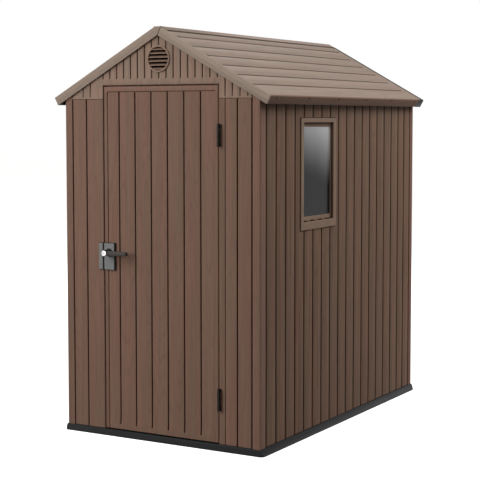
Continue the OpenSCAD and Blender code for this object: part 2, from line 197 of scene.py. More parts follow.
def turned(profile, centre, steps=48, whole=False):
    """A solid of revolution about a line along Y through centre. profile holds radius, place along
    Y and, if wanted, darkness; a point at angle t stands radius times cosine and sine of t from
    the line. A whole profile is a closed section that clears the line."""
    profile = np.asarray(profile, float)
    t = np.arange(steps) * 2 * math.pi / steps
    radius, y = profile[:, 0, None], profile[:, 1, None]
    rings = np.stack([radius * np.cos(t), np.broadcast_to(y, (len(profile), steps)),
                      radius * np.sin(t)], -1) + np.asarray(centre, float)
    mark = profile[:, 2, None] if profile.shape[1] > 2 else np.zeros((len(profile), 1))
    if whole:
        return tube(rings.transpose(1, 0, 2), True, mark.T)
    return tube(rings, False, mark)


def arc(centre, radius, start, end, steps):
    """Points on a circle about centre, from the start angle to the end angle in degrees."""
    t = np.radians(np.linspace(start, end, steps))
    return np.stack([centre[0] + radius * np.cos(t), centre[1] + radius * np.sin(t)], -1)


def squared(half_x, half_y, power, steps):
    """Points of a rounded square: half sizes times the signed powers of cosine and sine."""
    t = (np.arange(steps) + 0.5) * 2 * math.pi / steps
    c, s = np.cos(t), np.sin(t)
    return np.stack([half_x * np.sign(c) * np.abs(c) ** (2 / power),
                     half_y * np.sign(s) * np.abs(s) ** (2 / power)], -1)


def mitred(section, low, high, widths):
    """A moulding round a rectangle in a wall's plane, mitred at its corners. A point of the closed
    section is (fixed, share, depth, darkness): it lies fixed plus share times that side's width in
    from the rectangle, and depth behind the wall's face. widths are the left, right, lower and
    upper sides'."""
    fixed, share, depth, mark = np.asarray(section, float).T
    left, right, lower, upper = (fixed + share * w for w in widths)
    rings = [np.stack([a, depth, h], -1) for a, h in (
        (low[0] + left, low[1] + lower), (low[0] + left, high[1] - upper),
        (high[0] - right, high[1] - upper), (high[0] - right, low[1] + lower))]
    return tube(rings, True, mark[None])


def placed(form, origin, along, up):
    """Moves a form from a wall's own directions into the shed's: along its width, up its height,
    and into its thickness, which is up crossed with along."""
    points, *rest = form
    along, up = np.array(along, float), np.array(up, float)
    return (points @ np.array([along, np.cross(up, along), up]) + np.array(origin, float), *rest)


def together(*forms):
    """Several closed forms as one."""
    starts = np.cumsum([0] + [len(f[0]) for f in forms])
    faces = [[v + int(s) for v in face] for f, s in zip(forms, starts) for face in f[1]]
    return (np.concatenate([f[0] for f in forms]), faces,
            np.concatenate([f[2] for f in forms]), np.concatenate([f[3] for f in forms]))


# ---------- pieces ----------


def dress(made, body, finish, nodes):
    """Gives a new piece its body, its finish and the CAD nodes it stands for."""
    made.data.materials.clear()
    made.data.materials.append(finish)
    bpy.context.scene.collection.objects.link(made)
    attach(made, body)
    if nodes:
        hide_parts(*nodes)
    return made


def piece(name, form, body, slot, finish, *nodes, crease=32):
    """A mesh piece from a form in millimetres: edges sharper than the crease angle stay crisp."""
    points, faces, groove, board = form
    mesh = bpy.data.meshes.new(name)
    mesh.from_pydata((points / 1000).tolist(), [], [
        f for f in (list(dict.fromkeys(face)) for face in faces) if len(f) > 2])
    # The groove attribute says how dark a point is painted, 0 to 1: in grooves, hollows, gaps and
    # undersides it is painted shade; on the lever it darkens the hub, root and tip.
    for label, values in (("groove", groove), ("board", board)):
        stored = mesh.attributes.new(label, "FLOAT", "POINT").data
        stored.foreach_set("value", values.astype(np.float32))
    mesh.shade_smooth()
    mesh.set_sharp_from_angle(angle=math.radians(crease))
    return dress(bpy.data.objects.new(name, mesh), body, finish, nodes)


def softened(name, node, body, finish, width):
    """A copy of a CAD node with its doubles merged, its flat faces made whole, and its edges
    rounded by a Bevel modifier."""
    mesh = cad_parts[node].data.copy()
    work = bmesh.new()
    work.from_mesh(mesh)
    bmesh.ops.remove_doubles(work, verts=work.verts, dist=2e-6)
    bmesh.ops.dissolve_limit(work, angle_limit=math.radians(0.4), verts=work.verts, edges=work.edges)
    work.to_mesh(mesh)
    work.free()
    mesh.name = name
    mesh.shade_smooth()
    made = dress(bpy.data.objects.new(name, mesh), body, finish, [node])
    bevel = made.modifiers.new("rounded edges", "BEVEL")
    bevel.width, bevel.segments, bevel.limit_method = width / 1000, 2, "ANGLE"
    bevel.angle_limit, bevel.harden_normals = math.radians(30), True
    return made


# ---------- finishes ----------


def linear(*colour):
    """A screen colour of 0 to 255 as the linear colour that shaders take."""
    c = np.array(colour, float) / 255
    return tuple(np.where(c <= 0.04045, c / 12.92, ((c + 0.055) / 1.055) ** 2.4)) + (1.0,)


class Signal:
    """An output socket in a node tree; arithmetic on it adds Math nodes."""

    def __init__(self, nodes, socket):
        self.nodes, self.socket = nodes, socket

    def calc(self, operation, *values, clamp=False):
        return self.nodes.node("ShaderNodeMath", {"operation": operation, "use_clamp": clamp},
                               dict(enumerate(values)))

    def __add__(self, other): return self.calc("ADD", self, other)
    def __sub__(self, other): return self.calc("SUBTRACT", self, other)
    def __mul__(self, other): return self.calc("MULTIPLY", self, other)
    def __rsub__(self, other): return self.calc("SUBTRACT", other, self)
    def __pow__(self, other): return self.calc("POWER", self, other)
    __radd__, __rmul__ = __add__, __mul__

    def fract(self): return self.calc("FRACT", self)
    def size(self): return self.calc("ABSOLUTE", self)
    def held(self): return self.calc("ADD", self, 0.0, clamp=True)
    def most(self, other): return self.calc("MAXIMUM", self, other)


class Nodes:
    """A node tree, and the one way its nodes are added."""

    def __init__(self, tree):
        self.tree = tree
        tree.nodes.clear()

    def put(self, target, value):
        if isinstance(value, Signal):
            self.tree.links.new(value.socket, target)
        else:
            target.default_value = value

    def node(self, kind, settings, inputs, output=0):
        """Adds a node of a kind with its settings, then its sockets' values or links."""
        made = self.tree.nodes.new(kind)
        for label, value in settings.items():
            setattr(made, label, value)
        for label, value in inputs.items():
            self.put(made.inputs[label], value)
        return Signal(self, made.outputs[output])

    def seen_rays(self):
        """1 where a surface is seen directly, or in a gloss or through glass, and 0 in its light."""
        camera, gloss, through = (self.node("ShaderNodeLightPath", {}, {}, f"Is {kind} Ray")
                                  for kind in ("Camera", "Glossy", "Transmission"))
        return camera.most(gloss).most(through)

    def blend(self, factor, first, second):
        """Mixes two colours by a factor."""
        return self.node("ShaderNodeMix", {"data_type": "RGBA", "clamp_factor": True},
                         {0: factor, 6: first, 7: second}, 2)

    def scaled(self, colour, factor):
        return self.node("ShaderNodeVectorMath", {"operation": "SCALE"}, {0: colour, "Scale": factor})

    def stretched(self, where, scale, turn=(0, 0, 0)):
        """Where a pattern is read: turned first, then scaled along each way."""
        spun = self.node("ShaderNodeMapping", {}, {"Vector": where, "Rotation": turn})
        return self.node("ShaderNodeMapping", {}, {"Vector": spun, "Scale": scale})

    def noise(self, where, detail=2.0, rough=0.5):
        return self.node("ShaderNodeTexNoise", {"noise_dimensions": "3D"},
                         {"Vector": where, "Scale": 1.0, "Detail": detail, "Roughness": rough}, "Fac")


class Finish(Nodes):
    """A procedural material: a Principled shader and the nodes that feed it."""

    def __init__(self, name, **constants):
        self.material = bpy.data.materials.new(name)
        self.material.use_nodes = True
        super().__init__(self.material.node_tree)
        output = self.tree.nodes.new("ShaderNodeOutputMaterial")
        self.shader = self.tree.nodes.new("ShaderNodeBsdfPrincipled")
        self.tree.links.new(self.shader.outputs[0], output.inputs["Surface"])
        for label, value in constants.items():
            self.feed(label.replace("_", " "), value)

    def feed(self, label, value):
        self.put(self.shader.inputs[label], value)

    def place(self):
        return self.node("ShaderNodeTexCoord", {}, {}, "Object")

    def mark(self, label):
        return self.node("ShaderNodeAttribute", {"attribute_name": label}, {}, "Fac")

    def way(self, axis):
        return self.node("ShaderNodeSeparateXYZ", {}, {0: self.place()}, "XYZ"[axis])

    def bump(self, height, depth):
        self.feed("Normal", self.node("ShaderNodeBump", {}, {"Height": height, "Distance": depth}))


def grained(name, warm, grey, dark, axis, turn=0.0, streaky=0.5, depth=0.0008, seam=None):
    """Moulded resin with a wood grain that runs along one axis (0, 1 or 2), turned about Y.
    Long streaks and fine pores are noise stretched along the grain; the figure is where a broad
    stretched noise, times a number, comes close to a whole number. Each board reads its own part
    of the pattern, and the grooves are painted dark as painted shade. A seam is a line in X and Z,
    given by its direction across and its distance, with a dark joint on it."""
    f = Finish(name, IOR=1.45, Specular_IOR_Level=0.12)
    board = f.mark("board")
    shift = f.node("ShaderNodeCombineXYZ", {}, {0: board * 3.1, 1: board * 5.3, 2: board * 4.7})
    where = f.node("ShaderNodeVectorMath", {"operation": "ADD"}, {0: f.place(), 1: shift})

    def pattern(across, along, detail, roughness):
        scale = [across] * 3
        scale[axis] = along
        return f.noise(f.stretched(where, scale, (0, turn, 0)), detail, roughness)

    streaks = pattern(70, 1.8, 3.0, 0.6)
    pores = pattern(420, 14, 2.0, 0.6)
    figure = ((pattern(11, 0.9, 1.0, 0.4) * 16).fract() - 0.5).size() * 2
    lines = (1 - figure * 3.2).held()
    tint = f.blend(((pattern(34, 1.0, 2.0, 0.5) - 0.4) * 5).held(), linear(*warm), linear(*grey))
    tone = (1.08 + (streaks - 0.5) * streaky + (board - 0.5) * 0.04 - lines * 0.12
            - ((0.5 - pores) * 1.6).held() * 0.32)
    # The groove mark blends in the dark colour as painted shade; the seam adds a dark joint.
    gap = f.mark("groove")
    if seam:
        away = (f.way(0) * seam[0] + f.way(2) * seam[1] - seam[2]).size()
        gap = gap.most(((0.0026 - away) * 900).held())
    f.feed("Base Color", f.blend(gap, f.scaled(tint, tone), linear(*dark)))
    f.feed("Roughness", 0.62 + (pores - 0.5) * 0.16)
    f.bump(pores * 0.55 + streaks * 0.35 - lines * 0.3, depth)
    return f.material


def satin(name, colour, rough=0.4, metal=0.0, grit=900, depth=0.00012, vary=0.12, dark=(14, 13, 12),
          **more):
    """Plain moulded or metal surface: a fine even grit in its height, a slow change of tone and
    gloss, and a darker tone where its groove mark is set: painted shade in its hollows."""
    f = Finish(name, Metallic=metal, **more)
    fine = f.noise(f.stretched(f.place(), (grit, grit, grit)), 2.0)
    slow = f.noise(f.stretched(f.place(), (9, 9, 9)), 3.0)
    toned = f.scaled(linear(*colour)[:3], 1 + (slow - 0.5) * vary + (fine - 0.5) * vary)
    f.feed("Base Color", f.blend(f.mark("groove"), toned, linear(*dark)))
    f.feed("Roughness", rough + (slow - 0.5) * 0.15 + (fine - 0.5) * 0.1)
    f.bump(fine, depth)
    return f.material


# Each resin's dark colour is what the groove mark paints in: painted shade in grooves, gaps and
# undersides, and on the edge boards also the seam's dark joint.
BROWN = dict(warm=(126, 96, 82), grey=(122, 97, 83), dark=(50, 22, 10))
SIDE = dict(warm=(127, 96, 79), grey=(120, 97, 80), dark=(44, 23, 11), streaky=1.3)
UPPER = dict(warm=(143, 117, 102), grey=(137, 118, 103), dark=(62, 38, 27), streaky=0.6)
SURROUND = dict(warm=(150, 124, 106), grey=(146, 125, 108), dark=(58, 32, 22), streaky=0.6)
TAN = dict(warm=(151, 131, 118), grey=(149, 133, 120), dark=(56, 36, 27))
# The edge boards' tan is a lighter copy of the roof's, making up for the lamps lighting them less than
# the roof: painted light.
VERGE_LIGHTENED = dict(warm=(157, 138, 125), grey=(155, 140, 127), dark=(56, 36, 27))
apex_low = roof_z(0) - EDGE_DEPTH / COS
seam_run = np.array([CAP_HALF_FLAT, RIDGE_Z - apex_low]) / 1000
seam_across = np.array([seam_run[1], -seam_run[0]]) / np.hypot(*seam_run)
SEAM = (*seam_across, seam_across[1] * apex_low / 1000)
# The eave lip's tan is a darker copy of the roof's, standing in for the shade the lip lies in: painted
# shade.
LIP_SHADED_TONE = dict(warm=(118, 88, 72), grey=(115, 90, 74), dark=(48, 30, 21))
boards_upright = grained("brown boards", axis=2, **BROWN)
boards_side = grained("brown side boards", axis=2, **SIDE)
boards_upper = grained("light brown boards", axis=2, **UPPER)
boards_window = grained("light brown window boards", axis=2, **SURROUND)
roof_boards = grained("tan roof boards", axis=1, depth=0.0005, **TAN)
edge_left = grained("tan edge board left", axis=0, turn=SLOPE, depth=0.0004, seam=SEAM, **VERGE_LIGHTENED)
edge_right = grained("tan edge board right", axis=0, turn=-SLOPE, depth=0.0004, seam=SEAM, **VERGE_LIGHTENED)
lip_boards_shaded = grained("tan eave boards", axis=1, depth=0.0004, **LIP_SHADED_TONE)
plain_brown = satin("brown moulded resin", (148, 123, 107), 0.58, dark=(44, 24, 14),
                    Specular_IOR_Level=0.12)
black = satin("black moulded resin", (25, 26, 27), 0.5, Specular_IOR_Level=0.15)
floor_black = satin("black floor", (40, 40, 41), 0.6, Specular_IOR_Level=0.15)
hinge_black = satin("black hinge metal", (22, 18, 15), 0.4, Specular_IOR_Level=0.15)
plate_grey = satin("grey coated metal", (127, 128, 128), 0.5, vary=0.06, Specular_IOR_Level=0.15)
lever_black = satin("black lever", (58, 52, 47), 0.4, Specular_IOR_Level=0.2)
bright = satin("bright lock face", (228, 226, 228), 0.25, 0.85, dark=(60, 60, 62))


def glazing():
    """Smoke-dark pane: nearly black low down, with a painted reflection that turns it pale grey
    towards its upper rear corner, and a painted highlight: a pale line where its upper and rear rims
    catch the light."""
    low, high = corners("window_pane")
    f = Finish("dark pane", Roughness=0.22, IOR=1.45, Specular_IOR_Level=0.1)
    height = (f.way(2) - low[2] / 1000) * (1000 / (high[2] - low[2]))
    width = (f.way(1) - low[1] / 1000) * (1000 / (high[1] - low[1]))
    slow = f.noise(f.stretched(f.place(), (4, 6, 3)), 2.0)
    # Painted reflection: pale grey rising towards the upper rear corner.
    painted_reflection = ((height - 0.40) * 1.5 + (width - 0.5) * 0.36 + (slow - 0.5) * 0.12).held() ** 1.6
    upper_rim = ((height - 0.982) * 120).held()
    rear_rim = ((width - 0.965) * 60).held() * ((height - 0.6) * 3).held()
    colour = f.blend(painted_reflection, linear(33, 33, 34), linear(222, 222, 224))
    f.feed("Base Color", f.blend(upper_rim.most(rear_rim) * 0.7, colour, linear(235, 233, 230)))
    return f.material


# ---------- walls ----------

SIDES = {  # origin of a wall's outer face, and the way its width runs
    "front": ((0, FRONT, 0), (1, 0, 0)), "right": ((HALF_WIDTH, 0, 0), (0, 1, 0)),
    "rear": ((0, REAR, 0), (-1, 0, 0)), "left": ((-HALF_WIDTH, 0, 0), (0, -1, 0))}
UPRIGHT = (0, 0, 1)
EDGE = [0, 0.7, 2, ROUND, ROUND + 1]
LAP_OVER = 14  # how far the window's surround lies over the wall


def span(node, side):
    """Where a node begins and ends along its wall, and its lowest and highest level."""
    low, high = corners(node)
    ends = sorted([float(np.dot(low, SIDES[side][1])), float(np.dot(high, SIDES[side][1]))])
    return (*ends, low[2], high[2])


def wall(name, node, side, lines, soft=(), round_ends=(), top=None, rise=0, wide=1.0, window=None):
    """A wall panel: upright grooves at lines, fainter ones at soft, rounded upper and lower edges,
    and edges in round_ends rounded too. Its outer top is at top, and its inner top rises higher
    where the roof slopes over it. A window is cut out, with a channel round its surround: the
    distance from its outline is the larger of the distances along and up."""
    a0, a1, z0, z1 = span(node, side)
    z1 = top or z1
    lines = np.asarray(lines, float)
    places = [(lines, np.array(GROOVE[0]) * wide), (lines, INNER[0]), (soft, LINE[0]),
              (round_ends, EDGE)]
    levels = [([z0, z1], EDGE)]
    if window:
        places += [(window[:2], [*CHANNEL[0], LAP_OVER])]
        levels += [(window[2:], [*CHANNEL[0], LAP_OVER])]
    along, levels = stations(a0, a1, *places), stations(z0, z1, *levels)

    def clear(a, h):
        """Distance outside the window's outline."""
        if not window:
            return np.full(np.broadcast(a, h).shape, 1e3)
        return np.maximum(np.maximum(window[0] - a, a - window[1]),
                          np.maximum(window[2] - h, h - window[3]))

    def grooves(a, h):
        return np.maximum(cut(nearest(a, lines), GROOVE, wide), cut(clear(a, h), CHANNEL))

    def outer(a, h):
        edge = rounded(np.minimum(h - z0, z1 - h), ROUND)
        if len(round_ends):
            edge = np.maximum(edge, rounded(nearest(a, round_ends), ROUND))
        return np.maximum.reduce([grooves(a, h), cut(nearest(a, soft), LINE), edge])

    # Painted shade: dark down in the grooves, the channel round the window and the faint lines, a dark
    # line along the top edge, and a half-dark line at the foot.
    def dark(a, h):
        faint = 0.75 * painted_shade(cut(nearest(a, soft), LINE))
        ends = np.maximum(h > z1 - 1, 0.5 * (h < z0 + 1))
        return np.maximum.reduce([painted_shade(grooves(a, h)), faint, ends])

    middle = (along[1:, None] + along[:-1, None]) / 2, (levels[1:] + levels[:-1]) / 2
    form = slab(along, levels, outer, lambda a, h: WALL - cut(nearest(a, lines), INNER),
                lambda a, h: shade(a, np.concatenate([lines, soft])), dark,
                clear(*middle) > -LAP_OVER, lambda a, h: np.where(h > z1 - 0.01, rise, 0))
    piece(name, placed(form, *SIDES[side], UPRIGHT), "shed", "brown_resin",
          boards_side if side in ("left", "right") else boards_upright, node)


# The joints of the front and rear boards, from the middle outwards
wall("front_boards_left", "front_wall_left", "front", [-POST_END, -437], round_ends=[DOOR_LEFT])
wall("front_boards_right", "front_wall_right", "front", [443.7, POST_END], [377], [DOOR_RIGHT])
rear_lines = np.array([*np.arange(0, 6) * 95.1, POST_END])
wall("rear_boards_left", "rear_wall_left", "rear", rear_lines)
wall("rear_boards_right", "rear_wall_right", "rear", -rear_lines)

# The side walls: even boards up to the joint of the two panels, then wider ones to a last narrow one
wall_top = under_z(HALF_WIDTH)
side_first, side_last = corners("right_wall_front")[0][1], corners("right_wall_rear")[1][1]
joint = corners("right_wall_front")[1][1]
front_lines = np.linspace(side_first, joint, 10)
rear_side_lines = np.array([*(joint + 96.7 * np.arange(8)), 780.2, side_last])
frame_low, frame_high = corners("window_frame")
window = (frame_low[1], frame_high[1], frame_low[2], frame_high[2])
for side, way in (("right", 1), ("left", -1)):
    for part, lines in (("front", front_lines), ("rear", rear_side_lines)):
        opening = window if (side, part) == ("right", "front") else None
        wall(f"{side}_boards_{part}", f"{side}_wall_{part}", side, way * lines, top=wall_top,
             rise=WALL * FALL, wide=SIDE_WIDE, window=opening)


def gable(name, node, side, door=None, side_lines=()):
    """A gable panel: upright grooves from a plain lower band up to the roof, over a bead along its
    foot. Its top follows the roof's underside; round the vent the rows part along the circle, so
    the hole is open. Over a door the band is the door head, and the panel reaches down beside it."""
    a0, a1, z0, _ = span(node, side)
    radius, pitch = 60.5, 41.7
    middle = (corners("front_vent")[0][2] + corners("front_vent")[1][2]) / 2
    lines = np.arange(-8, 9) * pitch if door else np.arange(-12, 13) * pitch
    band = door[2] + 31 if door else z0 + 40
    circle = radius * np.sin(np.radians(np.linspace(-90, 90, 25)))
    edges = list(door[:2]) if door else [-340, 340]
    every = np.concatenate([lines, side_lines])
    along = stations(a0, a1, (every, GROOVE[0]), (edges, EDGE if door else [0]), (circle, [0]))
    top = under_z(along) - SEAT
    step = [door[2] + d for d in (0, 2, ROUND)] if door else [z0 + 12, z0 + 20]
    bead_up, bead_out = np.array([0, 1, 4, 7, 10]), [0, 1.4, 2.2, 1.4, 0]
    foot = z0 + bead_up
    fixed = np.array([*foot, *step, band, band + 3])
    rows = np.broadcast_to(fixed, (len(along), len(fixed)))
    reach = np.sqrt(np.maximum(radius**2 - along**2, 0))
    level = np.where(reach > 0, middle, np.interp(top, [band + 3, under_z(radius)], [band + 3, middle]))
    rows = np.concatenate([rows, (level - reach)[:, None], (level + reach)[:, None], top[:, None]], 1)
    # Outside the edges the rows above the foot are squeezed under the falling top
    for sign, edge in zip((-1, 1), edges):
        full = under_z(edge) - SEAT
        at_edge = rows[np.argmin(np.abs(along - edge))].copy()
        at_edge[-3:] = [(band + 3 + full) / 2, (band + 3 + full) / 2, full]
        squeezed = foot[-1] + (at_edge - foot[-1]) * ((top - foot[-1]) / (full - foot[-1]))[:, None]
        beside = (along * sign > edge * sign)[:, None] & (np.arange(rows.shape[1]) >= len(foot))
        rows = np.where(beside, squeezed, rows)
    mid = (along[1:] + along[:-1]) / 2
    keep = np.ones((len(along) - 1, rows.shape[1] - 1), bool)
    keep[:, -2] = False
    if door:
        keep[(mid > door[0]) & (mid < door[1]), :len(foot)] = False

    def over(a):
        """Whether a place is over the door, or anywhere along a gable without one."""
        return (a > edges[0] - 1) & (a < edges[1] + 1) | (not door)

    def grooves(a, h):
        run = np.clip((h - np.where(over(a), band, foot[3])) / 3, 0, 1)
        chosen = np.where(over(a), nearest(a, lines), nearest(a, side_lines))
        return np.minimum(cut(chosen, GROOVE, 0.85), 5) * run

    def outer(a, h):
        set_back = 1.5 * np.clip((h - band) / 3, 0, 1) * over(a)
        depth = np.maximum(grooves(a, h) + set_back, rounded(h - z0, ROUND))
        if door:
            beyond = np.maximum(np.maximum(edges[0] - a, a - edges[1]), 0)
            depth = np.maximum(depth, rounded(np.hypot(beyond, np.maximum(h - door[2], 0)), ROUND))
        bead = np.interp(h - z0, bead_up, bead_out)
        return np.where(~over(a) | (not door), np.where(h < foot[-1], -bead, depth), depth)

    # The grooves are painted dark down in them: painted shade.
    form = slab(along, rows, outer, even(WALL),
                lambda a, h: np.where(over(a) & (h < band + 1), 0.4, shade(a, every)),
                lambda a, h: painted_shade(grooves(a, h)) * 0.9, keep)
    piece(name, placed(form, *SIDES[side], UPRIGHT), "shed", "brown_resin", boards_upper, node)


gable("front_gable_boards", "front_gable", "front", (DOOR_LEFT, DOOR_RIGHT, DOOR_HEAD),
      [-POST_END, -456, -412.5, 377, 417, 459, 501, POST_END])
gable("rear_gable_boards", "rear_gable", "rear")


def corner(name, node, sx, sy):
    """A corner post: an angle strip with a rounded outer edge and half a groove along each leg's
    end, carried upright from the base to the roof's underside."""
    low, high = corners(node)
    leg_x, leg_y = high[0] - low[0], high[1] - low[1]
    away, depth = np.array(GROOVE[0]), np.array(GROOVE[1])
    front_leg = np.stack([leg_x - away, depth], -1)
    side_leg = np.stack([depth, leg_y - away * SIDE_WIDE], -1)[::-1]
    bend = arc((POST_RADIUS, POST_RADIUS), POST_RADIUS, 270, 180, 5)
    bend = np.concatenate([[[POST_RADIUS + 1, 0]], bend, [[0, POST_RADIUS + 1]]])
    outline = np.concatenate([
        [[leg_x, WALL]], front_leg, bend, side_leg, [[WALL, leg_y], [WALL, WALL]]])
    # Painted shade: the half grooves are dark down in them, and the back corners of the legs' ends half
    # dark.
    dark = np.concatenate([
        [0.5], painted_shade(depth), np.zeros(len(bend)), painted_shade(depth)[::-1], [0.5, 0]])
    x, y = sx * (HALF_WIDTH - outline[:, 0]), sy * (REAR - outline[:, 1])
    ends = (np.full(len(x), low[2]), under_z(x) - SEAT)
    points, faces, mark, _ = tube([np.stack([x, y, level], -1) for level in ends], mark=dark)
    # The side leg, from the end of the round edge on, is painted a little lighter: painted light, for
    # the light that falls on the front leg and not on the side.
    edge_end = len(front_leg) + len(bend) - 1
    board = np.tile(np.where(np.arange(len(dark)) >= edge_end, 6.0, 0.4), 2)
    piece(name, (points, faces, mark, board), "shed", "brown_resin", boards_upright, node, crease=25)


for end, sy in (("front", -1), ("rear", 1)):
    for hand, sx in (("left", -1), ("right", 1)):
        corner(f"corner_post_{end}_{hand}", f"post_{end}_{hand}", sx, sy)


# ---------- door ----------


def door():
    """The door: a plain frame of stiles and rails, and a field of boards set back from it, with
    grooves that stop short of the rails."""
    a0, a1, z0, z1 = span("door_panel", "front")
    thick = corners("door_panel")[1][1] - FRONT
    # The field's edges and grooves; it lies set_back deep, reached over the ramp's height, and the
    # grooves run out over a short height at both ends
    left, right, lower, upper = -306.5, 320, 65, 1735.5
    lines = np.array([-238.3, -143, -47.7, 47.7, 143, 238.3])
    set_back, ramp, run_out = 2.5, 45, 3
    along = stations(a0, a1, (lines, GROOVE[0]), ([a0, a1], EDGE), ([left, right], LINE[0]))
    levels = stations(z0, z1, ([z0, z1], EDGE), ([lower, upper], LINE[0]), ([lower], [ramp]))

    def grooves(a, h):
        run = np.clip((h - lower) / run_out, 0, 1) * np.clip((upper - h) / run_out, 0, 1)
        return cut(nearest(a, lines), GROOVE) * run

    def edges(a, h):
        """The lines beside the stiles and under the upper rail; the hinge side's is fainter."""
        stile = cut(nearest(a, [left, right]), LINE) * (h < upper) * np.where(a > 0, 0.35, 1)
        rail = cut(h - upper, LINE) * ((a > left) & (a < right))
        return np.maximum(stile, rail)

    def outer(a, h):
        inside = (a > left) & (a < right) & (h < upper)
        field = np.where(inside, np.clip((h - lower) / ramp, 0, 1) * set_back, 0)
        edge = rounded(np.minimum.reduce([a - a0, a1 - a, h - z0, z1 - h]), ROUND)
        return np.maximum.reduce([edge, field + np.where(inside, grooves(a, h), 0), edges(a, h)])

    # The grooves and the lines beside the stiles and under the upper rail are painted dark: painted
    # shade.
    form = slab(along, levels, outer, lambda a, h: thick - cut(nearest(a, lines), INNER),
                # A board value of 4 above the upper rail's line makes the rail a little lighter: a
                # painted highlight.
                lambda a, h: np.where(h > upper, 4.0, shade(a, [*lines, left, right])),
                lambda a, h: np.maximum(painted_shade(grooves(a, h)), 0.8 * painted_shade(edges(a, h))))
    piece("door_boards", placed(form, *SIDES["front"], UPRIGHT), "door", "brown_resin",
          boards_upright, "door_panel")


def door_stop():
    """The rebate strip behind the opening: a section carried up one side, over and down the other,
    and a filler strip in the gap on the hinge side. Both are painted darker as painted shade, the
    filler most, so the gap reads as a shaded line."""
    section = np.array([(-12, 25), (1.5, 25), (1.5, WALL), (14, WALL), (14, 29), (-12, 29)])
    out, y = section[:, 0], FRONT + section[:, 1]
    foot = np.full(len(out), FLOOR_TOP)
    rings = [np.stack([a, y, h], -1) for a, h in (
        (DOOR_LEFT - out, foot), (DOOR_LEFT - out, DOOR_HEAD + out),
        (DOOR_RIGHT + out, DOOR_HEAD + out), (DOOR_RIGHT + out, foot))]
    strip = [(DOOR_RIGHT - 5, 4), (DOOR_RIGHT - 4, 3), (DOOR_RIGHT + 0.2, 3), (DOOR_RIGHT + 0.2, 27),
             (DOOR_RIGHT - 5, 27)]
    side = tube([[(a, FRONT + deep, h) for a, deep in strip] for h in (FLOOR_TOP, DOOR_HEAD)],
                mark=[0.6, 0.45, 0.45, 0.6, 0.9])
    piece("door_stop", together(tube(rings, mark=0.2), side), "shed", "brown_resin", boards_upright)


door()
door_stop()

# ---------- roof ----------


def up_slope(x):
    """Distance up the slope from the eave edge to the place above x."""
    return (EAVE_X - x) / COS


def eave(sx):
    """A roof side's eave edge, and its ways up the slope and into the roof's thickness."""
    return (np.array([sx * EAVE_X, 0, float(roof_z(EAVE_X))]), np.array([-sx * COS, 0, SIN]),
            np.array([-sx * SIN, 0, -COS]))


def roof_side(hand, sx):
    """A roof side: boards that run from front to back and end in a plain margin at the rear. The
    first line is the ridge cap's edge."""
    laps = up_slope(np.array([CAP_HALF + 2.5, 107.3, 193.4, 276, 359.5, 444, 527.5]))
    ends = np.array([REAR + 9, 865, 849, 845, 841, 836, 831])
    top_u = up_slope(CAP_HALF_FLAT)
    along = stations(FRONT, REAR, (ends[1:], [0, 4]))
    rows_u = stations(LIP, top_u, (laps, LAP[0]))

    def laps_cut(a, u):
        """Each board's groove, tapering out over 4 mm at its rear end."""
        which = np.abs(u[:, None] - laps).argmin(1)
        return cut(nearest(u, laps), LAP) * np.clip((ends[which] - a * sx) / 4, 0, 1)

    ridge_rise = (CAP_HALF_FLAT - ROOF_THICK * SIN) / COS
    # The laps, the ridge cap's edge line among them, are painted dark down in them: painted shade.
    form = slab(np.sort(along * sx), rows_u, laps_cut, even(ROOF_THICK),
                lambda a, u: shade(u, laps), lambda a, u: painted_shade(laps_cut(a, u)),
                rise=lambda a, u: np.where(u > top_u - 0.01, ridge_rise, 0))
    edge, up, _ = eave(sx)
    piece(f"roof_boards_{hand}", placed(form, edge, (0, sx, 0), up), "shed", "tan_resin",
          roof_boards, f"roof_{hand}")


def eave_lip(hand, sx):
    """The lip under a roof side's eave: its section runs from the eave edge down its outer face
    and back up inside, and it ends where the rear trim begins. Its face darkens towards its lower
    edge, and its underside and inner face are dark: painted shade."""
    section = np.concatenate([
        [[LIP, 0]], arc((2.5, 2.5), 2.5, 270, 180, 5), arc((2.5, EDGE_DEPTH - 2.5), 2.5, 180, 90, 4),
        arc((LIP - 2, EDGE_DEPTH - 2), 2, 90, 0, 3)])
    dark = np.interp(section[:, 1], [2.5, EDGE_DEPTH - 3, EDGE_DEPTH], [0, 0.15, 0.9])
    dark[-3:] = 0.95
    edge, up, into = eave(sx)
    ring = edge + section[:, :1] * up + section[:, 1:] * into
    piece(f"eave_lip_{hand}", tube([ring + [0, y, 0] for y in (FRONT, LIP_END)], mark=dark),
          "shed", "tan_resin", lip_boards_shaded)


def eave_screws(hand, sx):
    """Domed screws along an eave lip, near its upper edge."""
    edge, up, into = eave(sx)
    dome = [[0.01, -2.4], [2.6, -2.1], [4.6, -1.2], [5.6, 0.3]]
    facing = np.array([[0, sx, 0], up, -np.cross([0, sx, 0], up)])
    first, apart, below = 55.4, 332.4, 9
    points, *rest = turned(dome, (0, 0, 0), 12)
    screws = [(points @ facing + edge + into * below + [0, y, 0], *rest)
              for y in FRONT + first + apart * np.arange(6) if y < LIP_END - 10]
    piece(f"eave_screws_{hand}", together(*screws), "shed", "black_resin", black)


for hand, sx in (("right", 1), ("left", -1)):
    roof_side(hand, sx)
    eave_lip(hand, sx)
    eave_screws(hand, sx)
softened("edge_board_left", "front_verge_left", "shed", edge_left, 1.5)
softened("edge_board_right", "front_verge_right", "shed", edge_right, 1.5)
softened("ridge_cover", "ridge_cap", "shed", roof_boards, 1.2)
softened("rear_edge_left", "rear_trim_left", "shed", black, 1)
softened("rear_edge_right", "rear_trim_right", "shed", black, 1)
softened("base_tray", "floor_base", "shed", black, 3)


